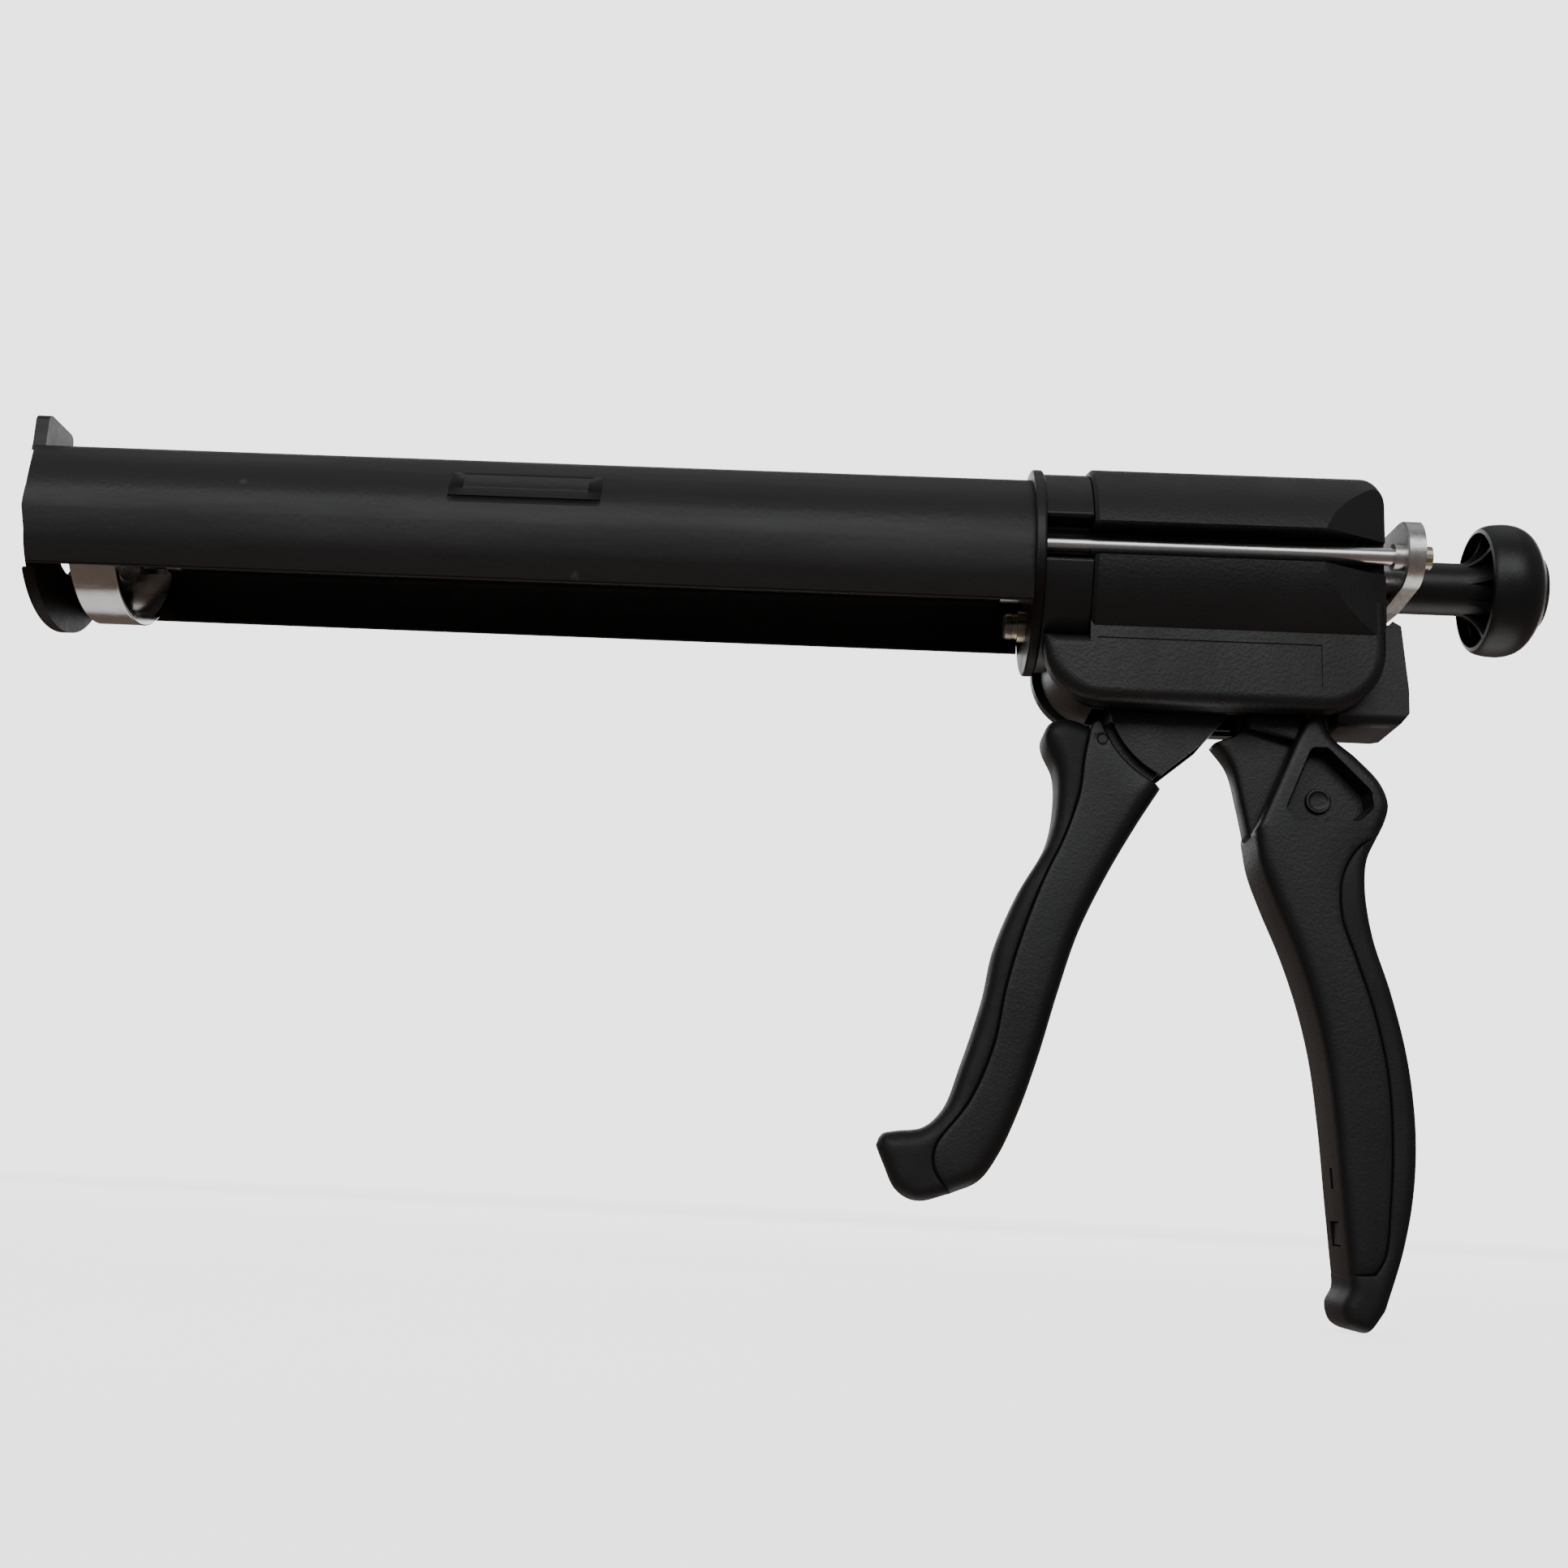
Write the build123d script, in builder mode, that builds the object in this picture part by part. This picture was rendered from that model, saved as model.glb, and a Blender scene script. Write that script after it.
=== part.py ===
"""Hand-operated caulking gun for two-part coaxial cartridges.

Frame: +X runs along the barrel towards the pull knob, +Z is up, -Y is the user's left.
The origin is on the drive axis, at the rear face of the cradle's flange. Millimetres.
"""

import os
from math import cos, radians, sin

from build123d import *

os.makedirs("parts", exist_ok=True)

# ---- driving dimensions -------------------------------------------------------------------

RUNNING_GAP = 0.06
LOOSE_GAP = 0.3

# cradle
CRADLE_R = 27.0
CRADLE_WALL = 1.5
CRADLE_BORE_R = CRADLE_R - CRADLE_WALL
CRADLE_DROP = 16.7
CRADLE_FRONT = -289.8
PLATE_THICK = 4.0
PLATE_R = 28.2
NOZZLE_HOLE_R = 11.5
TAB_FRONT = -297.7
TAB_THICK = 4.0
TAB_HALF = 9.0
TAB_TOP = 35.6
FLANGE_R = 30.0
FLANGE_THICK = 3.2
FLANGE_FRONT = -FLANGE_THICK
RIB_START = -169.0
RIB_LENGTH = 43.5

# rods and what they carry
DRIVE_ROD_R = 4.5
SIDE_ROD_R = 2.5
SIDE_ROD_Y = 22.0
SIDE_ROD_Z = 1.3
RING_R = CRADLE_BORE_R - LOOSE_GAP
RING_WALL = 2.3
RING_FRONT = -277.0
RING_LENGTH = 13.4
RING_REAR = RING_FRONT + RING_LENGTH
PUSHER_R = 12.8
PUSHER_THICK = 3.5
NUT_LENGTH = 3.4
YOKE_FRONT = 99.5
YOKE_THICK = 5.0
YOKE_REAR = YOKE_FRONT + YOKE_THICK
YOKE_HALF_LENGTH = 27.6
YOKE_HALF_HEIGHT = 10.9
YOKE_END_R = 9.8
YOKE_Z = 3.0
COLLAR_LENGTH = 2.9

# pull knob
NECK_R = 7.6
KNOB_RIM = 126.4
KNOB_TIP = 144.5
KNOB_RIM_R = 16.6
KNOB_RIBS = 8

# casing
COLLAR_R = 28.8
COLLAR_END = 12.9
DRUM_R = 30.5
DRUM_FRONT = 13.2
DRUM_REAR = 95.3
DRUM_BORE_R = 27.8
BEVEL_START = 75.0
CHANNEL_HALF = 5.0
CHANNEL_Z = 1.2
CHANNEL_FLOOR_Y = 18.4
COLLAR_NOTCH_HALF = 6.2
COLLAR_NOTCH_Z = 1.8
BOSS_HALF = 21.5
BOSS_TOP = -23.8
BOSS_BOTTOM = -43.0
BOSS_FRONT = 0.5
HOUSING_HALF = 13.5
HOUSING_FRONT = 3.0
HOUSING_REAR = 58.0
HOUSING_BOTTOM = -42.5
COVER_GAP = 0.3

# trigger
PIVOT_X = 47.0
PIVOT_Z = -36.0
PIVOT_R = 3.0
WEB_R = 27.2
WEB_HALF = 8.0
TANG_HALF = 5.0
TRIGGER_HALF = 10.5
SLOT_HALF = 9.0
NOSE_TOP = -12.0
DRIVE_PLATE_X = 43.4
DRIVE_PLATE_THICK = 3.0

# handle and release
HANDLE_HALF = 12.5
NECK_HALF = 9.0
RELEASE_X = 86.5
RELEASE_Z = -34.5
RELEASE_HALF = 12.0
RELEASE_BOTTOM = -44.8
CHEEK_THICK = 2.2
BRAKE_PLATE_X = 83.5
BRAKE_PLATE_THICK = 2.5


# ---- shared shapes ------------------------------------------------------------------------


def save(builder, name):
    """Label a finished piece and write it as its own STEP file."""
    builder.part.label = name
    export_step(builder.part, f"parts/{name}.step")


def trough_face(radius, drop):
    """Half-round top with straight legs, drawn across the barrel at the cradle's foremost point."""
    with BuildSketch(Plane.YZ.offset(TAB_FRONT)) as trough:
        with BuildLine():
            arch = ThreePointArc((-radius, 0), (0, radius), (radius, 0))
            Polyline(arch @ 1, (radius, -drop), (-radius, -drop), arch @ 0)
        make_face()
    return trough.sketch


def rim_edges(builder, half_width):
    """Edges of the flat faces that lie half_width to each side of the middle plane."""
    return [e for e in builder.edges() if abs(abs(e.center().Y) - half_width) < 0.01]


def coil(start_x, length, mean_r, wire_r, turns):
    """Compression spring wound round the drive axis."""
    with BuildPart() as spring:
        with BuildLine() as path:
            Helix(length / turns, length, mean_r, center=(start_x, 0, 0), direction=(1, 0, 0))
        with BuildSketch(Plane(path.line @ 0, z_dir=path.line % 0)):
            Circle(wire_r)
        sweep()
    return spring


# ---- cradle -------------------------------------------------------------------------------

TONGUE_SIDE = [(-297.3, 9.2), (-293.2, 17.3), (-290.7, 23.4), (CRADLE_FRONT, 26.0)]
LEG_SLOPE = 3.6

with BuildPart() as cradle_shell:
    length = FLANGE_FRONT - TAB_FRONT
    extrude(trough_face(CRADLE_R, CRADLE_DROP), amount=length)
    extrude(trough_face(CRADLE_BORE_R, CRADLE_DROP + 1), amount=length, mode=Mode.SUBTRACT)
    with BuildSketch(Plane.XY) as tongue_room:
        with BuildLine():
            side = Spline(*TONGUE_SIDE)
            Polyline(side @ 1, (CRADLE_FRONT, CRADLE_R + 1), (TAB_FRONT - 1, CRADLE_R + 1),
                     (TAB_FRONT - 1, 9.2), side @ 0)
        make_face()
        mirror(about=Plane.XZ)
    extrude(amount=CRADLE_R, mode=Mode.SUBTRACT)
    with BuildSketch(Plane.XZ) as leg_room:
        with BuildLine():
            Polyline((TAB_FRONT - 1, 0), (CRADLE_FRONT, 0), (CRADLE_FRONT + LEG_SLOPE, -CRADLE_DROP),
                     (CRADLE_FRONT + LEG_SLOPE, -CRADLE_DROP - 1), (TAB_FRONT - 1, -CRADLE_DROP - 1),
                     close=True)
        make_face()
    extrude(amount=CRADLE_R + 1, both=True, mode=Mode.SUBTRACT)
    with BuildSketch(Plane.YZ.offset(TAB_FRONT)) as tab:
        with Locations((0, TAB_TOP - 7)):
            Rectangle(2 * TAB_HALF, 14)
        fillet(tab.vertices().group_by(Axis.Y)[-1], 2.4)
        Circle(CRADLE_BORE_R, mode=Mode.SUBTRACT)
    extrude(amount=TAB_THICK)
    rib = [(27.6, 42), (26.9, 38), (25.95, 26), (26.55, 24), (26.9, 15), (27.6, 12)]
    with BuildSketch(Plane.YZ.offset(RIB_START)) as rib_cut:
        with BuildLine():
            Polyline(*[(-r * cos(radians(a)), r * sin(radians(a))) for r, a in rib], close=True)
        make_face()
        mirror(about=Plane.YZ)
    extrude(amount=RIB_LENGTH, mode=Mode.SUBTRACT)
    foot = cradle_shell.edges().filter_by(Axis.X).group_by(Axis.Z)[0]
    fillet(foot, 0.5)
save(cradle_shell, "cradle_shell")

with BuildPart() as front_plate:
    with BuildSketch(Plane.YZ.offset(CRADLE_FRONT)) as plate_outline:
        Circle(PLATE_R)
        with Locations((0, -CRADLE_DROP - 10.1)):
            Rectangle(2 * PLATE_R, 20, mode=Mode.INTERSECT)
        Circle(CRADLE_BORE_R)
    extrude(amount=PLATE_THICK)
    fillet(front_plate.faces().sort_by(Axis.X)[0].outer_wire().edges(), 1.2)
    with BuildSketch(Plane.YZ.offset(CRADLE_FRONT)) as nozzle_hole:
        Circle(NOZZLE_HOLE_R)
    extrude(amount=PLATE_THICK, mode=Mode.SUBTRACT)
    chamfer(front_plate.faces().sort_by(Axis.X)[0].inner_wires()[0].edges(), 0.5)
save(front_plate, "front_plate")

SCREW_CIRCLE_R = 16.3
SCREW_ANGLES = (-90, 30, 150)
SCREW_R = 2.0
screw_spots = [(SCREW_CIRCLE_R * cos(radians(a)), SCREW_CIRCLE_R * sin(radians(a)))
               for a in SCREW_ANGLES]
rod_spots = [(-SIDE_ROD_Y, SIDE_ROD_Z), (SIDE_ROD_Y, SIDE_ROD_Z)]
BUSH_SPIGOT_R = 3.2
BUSH_R = 3.4
BUSH_FRONT = -9.0

with BuildPart() as cradle_flange:
    with BuildSketch(Plane.YZ.offset(FLANGE_FRONT)):
        Circle(FLANGE_R)
        Circle(DRIVE_ROD_R + 1.5, mode=Mode.SUBTRACT)
        with Locations(*screw_spots):
            Circle(SCREW_R + 0.2, mode=Mode.SUBTRACT)
        with Locations(*rod_spots):
            Circle(BUSH_SPIGOT_R + 0.03, mode=Mode.SUBTRACT)
    extrude(amount=FLANGE_THICK)
    rims = [f.outer_wire().edges() for f in cradle_flange.faces().filter_by(Axis.X)]
    fillet(rims[0] + rims[1], 0.9)
save(cradle_flange, "cradle_flange")

with BuildPart() as rod_bushes:
    with BuildSketch(Plane.YZ.offset(BUSH_FRONT)):
        with Locations(*rod_spots):
            Circle(BUSH_R)
    extrude(amount=FLANGE_FRONT - BUSH_FRONT)
    chamfer(rod_bushes.faces().sort_by(Axis.X)[0:2].edges(), 0.3)
    with BuildSketch(Plane.YZ.offset(FLANGE_FRONT)):
        with Locations(*rod_spots):
            Circle(BUSH_SPIGOT_R)
    extrude(amount=FLANGE_THICK)
    with BuildSketch(Plane.YZ.offset(BUSH_FRONT)):
        with Locations(*rod_spots):
            Circle(SIDE_ROD_R + RUNNING_GAP)
    extrude(amount=-BUSH_FRONT, mode=Mode.SUBTRACT)
save(rod_bushes, "rod_bushes")

SEAT_THICK = 2.2
WASHER_THICK = 0.7
WASHER_FRONT = FLANGE_FRONT - SEAT_THICK - 2 * WASHER_THICK
HEAD_THICK = 2.6
HEAD_R = 3.65

with BuildPart() as flange_washers:
    for radius, front, thick in (
        (4.5, FLANGE_FRONT - SEAT_THICK, SEAT_THICK),
        (3.7, FLANGE_FRONT - SEAT_THICK - WASHER_THICK, WASHER_THICK - 0.08),
        (3.5, WASHER_FRONT, WASHER_THICK - 0.08),
    ):
        with BuildSketch(Plane.YZ.offset(front)):
            with Locations(*screw_spots):
                Circle(radius)
                Circle(SCREW_R + 0.1, mode=Mode.SUBTRACT)
        extrude(amount=thick)
save(flange_washers, "flange_washers")

with BuildPart() as flange_screws:
    with BuildSketch(Plane.YZ.offset(WASHER_FRONT - HEAD_THICK)):
        with Locations(*screw_spots):
            Circle(HEAD_R)
    extrude(amount=HEAD_THICK - 0.05)
    fillet(flange_screws.edges().filter_by(GeomType.CIRCLE).group_by(Axis.X)[0], 1.1)
    with BuildSketch(Plane.YZ.offset(WASHER_FRONT - HEAD_THICK)):
        with Locations(*screw_spots):
            RegularPolygon(1.7, 6)
    extrude(amount=1.3, mode=Mode.SUBTRACT)
    with BuildSketch(Plane.YZ.offset(WASHER_FRONT - 0.1)):
        with Locations(*screw_spots):
            Circle(SCREW_R)
    extrude(amount=COLLAR_END - WASHER_FRONT - 4)
save(flange_screws, "flange_screws")

# ---- drive housing ------------------------------------------------------------------------

SCREW_SHANK_R = 1.45
COVER_SCREWS = [(26, 20.6, 15.0), (80, 20.6, 15.0), (8, -31, 18.0), (79, -31, 18.0)]
CHAMBER_FRONT = 18.0
CHAMBER_REAR = 54.0
CHAMBER_HALF = 11.5


def lower_box():
    """Lower part of the drive housing, between the two covers."""
    with BuildPart() as box:
        with BuildSketch(Plane.XZ) as outline:
            with BuildLine():
                Polyline(
                    (HOUSING_FRONT, -12),
                    (HOUSING_FRONT, HOUSING_BOTTOM),
                    (HOUSING_REAR, HOUSING_BOTTOM),
                    (HOUSING_REAR, -12),
                    close=True,
                )
            make_face()
            fillet(outline.vertices().group_by(Axis.X)[0].sort_by(Axis.Y)[0], 15)
        extrude(amount=HOUSING_HALF, both=True)
        low = [e for e in rim_edges(box, HOUSING_HALF) if e.center().Z < -30 and e.center().X < 50]
        fillet(low, 3.5)
    return box.part


with BuildPart() as drive_housing:
    with BuildSketch(Plane.YZ) as collar:
        Circle(COLLAR_R)
        with Locations((-COLLAR_R, COLLAR_NOTCH_Z), (COLLAR_R, COLLAR_NOTCH_Z)):
            Rectangle(2 * (COLLAR_R - CHANNEL_FLOOR_Y), 2 * COLLAR_NOTCH_HALF, mode=Mode.SUBTRACT)
    extrude(amount=COLLAR_END)
    fillet(drive_housing.edges().filter_by(Axis.X), 0.9)
    add(lower_box())
    with BuildSketch(Plane.YZ.offset(COLLAR_END - 1)) as chamber_block:
        with Locations((0, 3)):
            Rectangle(2 * (HOUSING_HALF + 1.5), 30)
    extrude(amount=HOUSING_REAR - COLLAR_END + 1)
    with BuildSketch(Plane.XZ) as chamber:
        with Locations(((CHAMBER_FRONT + CHAMBER_REAR) / 2, -8)):
            Rectangle(CHAMBER_REAR - CHAMBER_FRONT, 44)
    extrude(amount=CHAMBER_HALF, both=True, mode=Mode.SUBTRACT)
    with BuildSketch(Plane.XZ) as slot:
        with BuildLine():
            Polyline((15.5, -50), (15.5, -30), (20, -24), (HOUSING_REAR + 1, -24), (HOUSING_REAR + 1, -50),
                     close=True)
        make_face()
    extrude(amount=SLOT_HALF, both=True, mode=Mode.SUBTRACT)
    with BuildSketch(Plane.YZ) as bores:
        Circle(DRIVE_ROD_R + RUNNING_GAP)
    extrude(amount=HOUSING_REAR, mode=Mode.SUBTRACT)
    with BuildSketch(Plane.YZ) as screw_holes:
        with Locations(*screw_spots):
            Circle(SCREW_R + 0.05)
    extrude(amount=COLLAR_END - 3.5, mode=Mode.SUBTRACT)
    with BuildSketch(Plane.XZ) as pin_hole:
        with Locations((PIVOT_X, PIVOT_Z)):
            Circle(PIVOT_R + 0.03)
        with Locations(COVER_SCREWS[2][:2]):
            Circle(SCREW_SHANK_R + 0.1)
    extrude(amount=HOUSING_HALF + 2, both=True, mode=Mode.SUBTRACT)
save(drive_housing, "drive_housing")

# ---- casing covers ------------------------------------------------------------------------

LABEL_X = (15.1, 77.0)
LABEL_Z = (-37.3, -24.9)
PIN_HOLE_R = 2.03
RELEASE_SLOT_HALF = RELEASE_HALF + 0.5
RELEASE_SLOT_FRONT = 82.6
NARROW_FRONT = 72.0
NARROW_HALF = 13.0


def boss_block(side):
    """Lower part of one cover: a thick wall with large rounded corners."""
    with BuildPart() as boss:
        with BuildSketch(Plane.XZ.offset(-side * HOUSING_HALF)) as outline:
            with BuildLine():
                Polyline(
                    (BOSS_FRONT, BOSS_TOP),
                    (DRUM_FRONT, BOSS_TOP),
                    (DRUM_FRONT, -12),
                    (DRUM_REAR, -12),
                    (DRUM_REAR, BOSS_BOTTOM),
                    (BOSS_FRONT, BOSS_BOTTOM),
                    close=True,
                )
            make_face()
            fillet(outline.vertices().group_by(Axis.Y)[0].sort_by(Axis.X)[0], 17)
            fillet(outline.vertices().group_by(Axis.X)[-1].sort_by(Axis.Y)[0], 18)
        extrude(amount=-side * (BOSS_HALF - HOUSING_HALF))
        face = boss.faces().filter_by(Axis.Y).sort_by(Axis.Y)[-1 if side > 0 else 0]
        rim = [e for e in face.outer_wire().edges() if e.center().Z < BOSS_TOP + 0.1 or e.center().X > 90]
        fillet(rim, 3.6)
    return boss.part


def cover(side):
    """One half of the casing; side is -1 for the left and +1 for the right."""
    with BuildPart() as half:
        with BuildSketch(Plane.YZ.offset(DRUM_FRONT)):
            Circle(DRUM_R)
        extrude(amount=DRUM_REAR - DRUM_FRONT)
        fillet(half.edges().filter_by(GeomType.CIRCLE).sort_by(Axis.X)[-1], 4.5)
        chamfer(half.edges().filter_by(GeomType.CIRCLE).sort_by(Axis.X)[0], 1.0)
        with BuildSketch(Plane.XY.offset(-60)) as keep:
            with Locations((DRUM_REAR / 2, side * 30)):
                Rectangle(140, 60)
        extrude(amount=120, mode=Mode.INTERSECT)
        with BuildSketch(Plane.XY.offset(BOSS_TOP + 1.5)) as bevel:
            with BuildLine():
                Polyline((BEVEL_START, side * (DRUM_R + 0.2)), (97, side * 18.9), (97, side * 40),
                         (BEVEL_START, side * 40), close=True)
            make_face()
        extrude(amount=80, mode=Mode.SUBTRACT)
        with BuildSketch(Plane.YZ.offset(DRUM_FRONT - 1)) as hollow:
            Circle(DRUM_BORE_R)
            with Locations((side * DRUM_BORE_R, CHANNEL_Z)):
                Rectangle(2 * (DRUM_BORE_R - CHANNEL_FLOOR_Y + 2.2), 2 * (CHANNEL_HALF + 2.2),
                          mode=Mode.SUBTRACT)
        extrude(amount=NARROW_FRONT - DRUM_FRONT + 1, mode=Mode.SUBTRACT)
        with BuildSketch(Plane.YZ.offset(NARROW_FRONT)) as narrow_hollow:
            Circle(DRUM_BORE_R - 2)
            Rectangle(2 * NARROW_HALF, 2 * DRUM_R, mode=Mode.INTERSECT)
        extrude(amount=DRUM_REAR - NARROW_FRONT - 3, mode=Mode.SUBTRACT)
        add(boss_block(side))
        with BuildSketch(Plane.YZ.offset(BOSS_FRONT - 1)) as collar_room:
            Circle(COLLAR_R + COVER_GAP)
        extrude(amount=DRUM_FRONT - BOSS_FRONT + 1, mode=Mode.SUBTRACT)
        with BuildSketch(Plane.YZ.offset(DRUM_FRONT - 1)) as rod_channel:
            with Locations((side * 35, CHANNEL_Z)):
                Rectangle(2 * (35 - CHANNEL_FLOOR_Y), 2 * CHANNEL_HALF)
        extrude(amount=DRUM_REAR - DRUM_FRONT + 4, mode=Mode.SUBTRACT)
        with BuildSketch(Plane.YZ.offset(-2)) as core_room:
            with Locations((0, -50)):
                Rectangle(2 * (HOUSING_HALF + COVER_GAP), 72)
        extrude(amount=RELEASE_SLOT_FRONT + 2, mode=Mode.SUBTRACT)
        with BuildSketch(Plane.YZ.offset(RELEASE_SLOT_FRONT - 0.1)) as release_room:
            with Locations((0, -53.5)):
                Rectangle(2 * RELEASE_SLOT_HALF, 79)
        extrude(amount=20, mode=Mode.SUBTRACT)
        with BuildSketch(Plane.YZ.offset(RELEASE_SLOT_FRONT - 0.1)) as rod_hole:
            Circle(DRIVE_ROD_R + LOOSE_GAP)
        extrude(amount=20, mode=Mode.SUBTRACT)
        with BuildSketch(Plane.XZ.offset(-side * HOUSING_HALF)) as pocket:
            with BuildLine():
                Polyline((20, -26.5), (20, -35), (24, -39), (70, -39), (74, -35), (74, -26.5), close=True)
            make_face()
        extrude(amount=-side * 5.2, mode=Mode.SUBTRACT)
        with BuildSketch(Plane.XZ.offset(-side * BOSS_HALF)) as label_panel:
            with Locations(((LABEL_X[0] + LABEL_X[1]) / 2, (LABEL_Z[0] + LABEL_Z[1]) / 2)):
                Rectangle(LABEL_X[1] - LABEL_X[0], LABEL_Z[1] - LABEL_Z[0])
        extrude(amount=side * 0.4, mode=Mode.SUBTRACT)
        for x, z, _ in COVER_SCREWS[:2]:
            with BuildSketch(Plane.XZ.offset(-side * 0.1)):
                with Locations((x, z)):
                    Circle(2.4)
            extrude(amount=-side * 16.5)
        for x, z, seat in COVER_SCREWS:
            with BuildSketch(Plane.XZ):
                with Locations((x, z)):
                    Circle(SCREW_SHANK_R + 0.05)
            extrude(amount=-side * (seat if side > 0 else max(seat - 2, 12)), mode=Mode.SUBTRACT)
            if side > 0:
                with BuildSketch(Plane.XZ.offset(-seat)):
                    with Locations((x, z)):
                        Circle(3.1)
                extrude(amount=-12, mode=Mode.SUBTRACT)
        with BuildSketch(Plane.XZ) as release_pins:
            with Locations((RELEASE_X, RELEASE_Z)):
                Circle(PIN_HOLE_R)
        extrude(amount=-side * (BOSS_HALF - 2.5), mode=Mode.SUBTRACT)
    return half


left_cover = cover(-1)
save(left_cover, "left_cover")
right_cover = cover(1)
save(right_cover, "right_cover")

with BuildPart() as cover_screws:
    for x, z, seat in COVER_SCREWS:
        with BuildSketch(Plane.XZ.offset(-seat)):
            with Locations((x, z)):
                Circle(2.9)
        extrude(amount=-2.0)
        with BuildSketch(Plane.XZ.offset(-seat - 2.1)):
            with Locations((x, z)):
                RegularPolygon(1.4, 6)
        extrude(amount=1.2, mode=Mode.SUBTRACT)
        with BuildSketch(Plane.XZ.offset(-seat)):
            with Locations((x, z)):
                Circle(SCREW_SHANK_R)
        extrude(amount=seat + 11)
save(cover_screws, "cover_screws")

with BuildPart() as trigger_pivot:
    with BuildSketch(Plane.XZ):
        with Locations((PIVOT_X, PIVOT_Z)):
            Circle(PIVOT_R)
    extrude(amount=HOUSING_HALF - 0.1, both=True)
save(trigger_pivot, "trigger_pivot")

with BuildPart() as release_pivot:
    with BuildSketch(Plane.XZ):
        with Locations((RELEASE_X, RELEASE_Z)):
            Circle(PIN_HOLE_R - 0.03)
    extrude(amount=BOSS_HALF - 2.7, both=True)
save(release_pivot, "release_pivot")

# ---- fixed handle -------------------------------------------------------------------------

GRIP_TIP = (94.6, -75.8)
HANDLE_FOOT = (84.6, -194.0)
GRIP_HEEL = (91.0, -193.5)
handle_front = [(60.6, -76), (62.2, -85), (65.8, -95), (71.2, -108), (75.8, -122), (79.2, -137),
                (81.4, -155), (83.0, -175), HANDLE_FOOT]
parting = [GRIP_HEEL, (93.6, -189), (95.3, -176), (96.2, -160), (95.5, -142), (92.2, -125),
           (87.4, -110), (83.9, -99), (84.2, -88), (88.6, -79.8), GRIP_TIP]
handle_back = [(96.6, -71.5), (97.6, -67), (95.5, -60.9), (89.2, -54.0), (82.0, -47.7), (79.4, -41.2)]
grip_back = [GRIP_TIP, (91.6, -82.5), (90.9, -91), (92.7, -104), (97.3, -119), (101.4, -137),
             (103.1, -156), (102.2, -172), (99.2, -187), (94.0, -203.0)]
grip_heel_curl = [(94.0, -203.0), (89.2, -208.4), (84.0, -206.6), (82.7, -201.6), (84.6, -197.6),
                  HANDLE_FOOT]
POCKET = [(76.4, -52.4), (80.3, -52.3), (91.7, -63.8), (92.3, -68.3), (88.8, -71.7), (71.2, -71.8),
          (69.4, -69.3)]
POCKET_DEPTH = 4.0
RIVET_SPOT = (79.0, -66.0)
RIVET_R = 3.6
GUARD_HALF = 5.2
CLIP_SPOT = (0, -183.5)

with BuildPart() as handle_shell:
    with BuildSketch(Plane.XZ) as handle_side:
        with BuildLine():
            front = Spline(*handle_front)
            Line(HANDLE_FOOT, GRIP_HEEL)
            seam = Spline(*parting)
            back = Spline(seam @ 1, *handle_back)
            Polyline(back @ 1, (79.4, -32), (74.5, -32), (74.5, -41), front @ 0)
        make_face()
    extrude(amount=HANDLE_HALF, both=True)
    side_edges = rim_edges(handle_shell, HANDLE_HALF)
    fillet([e for e in side_edges if e.center().X < 82 and -190 < e.center().Z < -50], 5.0)
    with BuildSketch(Plane.XZ) as neck:
        with BuildLine():
            Polyline((59.5, -26), (82.0, -26), (82.0, -45), (74, -50), (59.5, -46), close=True)
        make_face()
    extrude(amount=NECK_HALF, both=True)
    with BuildSketch(Plane.XZ) as guard:
        with BuildLine():
            edge = Spline((50.6, -49.8), (55.3, -56.3), (58.1, -67.0), (60.0, -76.4))
            Polyline(edge @ 1, (66, -79), (75.5, -50), (75.5, -44), (59.5, -44), (56.5, -47.4), edge @ 0)
        make_face()
    extrude(amount=GUARD_HALF, both=True)
    for side in (-1, 1):
        with BuildSketch(Plane.XZ.offset(-side * (HANDLE_HALF + 0.1))) as groove:
            with BuildLine():
                Polyline((74.2, -43.4), (76.2, -43.9), (62.4, -77.2), (59.2, -77.0), close=True)
            make_face()
        extrude(amount=side * 2.4, mode=Mode.SUBTRACT)
        with BuildSketch(Plane.XZ.offset(-side * HANDLE_HALF)) as pocket:
            with BuildLine():
                Polyline(*POCKET, close=True)
            make_face()
            fillet(pocket.vertices(), 1.4)
        extrude(amount=side * POCKET_DEPTH, mode=Mode.SUBTRACT)
        with BuildSketch(Plane.XZ.offset(-side * (HANDLE_HALF - POCKET_DEPTH))) as rivet_seat:
            with Locations(RIVET_SPOT):
                Circle(RIVET_R - 0.6)
        extrude(amount=side * 1.2, mode=Mode.SUBTRACT)
    with BuildSketch(Plane.YZ.offset(78)) as clip_window:
        with Locations(CLIP_SPOT):
            Rectangle(8.5, 6.5)
    extrude(amount=8, mode=Mode.SUBTRACT)
    with BuildSketch(Plane.YZ.offset(76)) as hang_slot:
        with Locations((-1.5, -169.0)):
            SlotOverall(5.5, 2.4, rotation=90)
    extrude(amount=9.5, mode=Mode.SUBTRACT)
    with BuildSketch(Plane.XZ) as screw_path:
        with Locations(COVER_SCREWS[3][:2]):
            Circle(SCREW_SHANK_R + 0.1)
    extrude(amount=HANDLE_HALF, both=True, mode=Mode.SUBTRACT)
save(handle_shell, "handle_shell")

with BuildPart() as handle_clip:
    with BuildSketch(Plane.YZ.offset(84.3)):
        with Locations(CLIP_SPOT):
            Rectangle(7.7, 5.7)
    extrude(amount=1.6)
save(handle_clip, "handle_clip")

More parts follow.
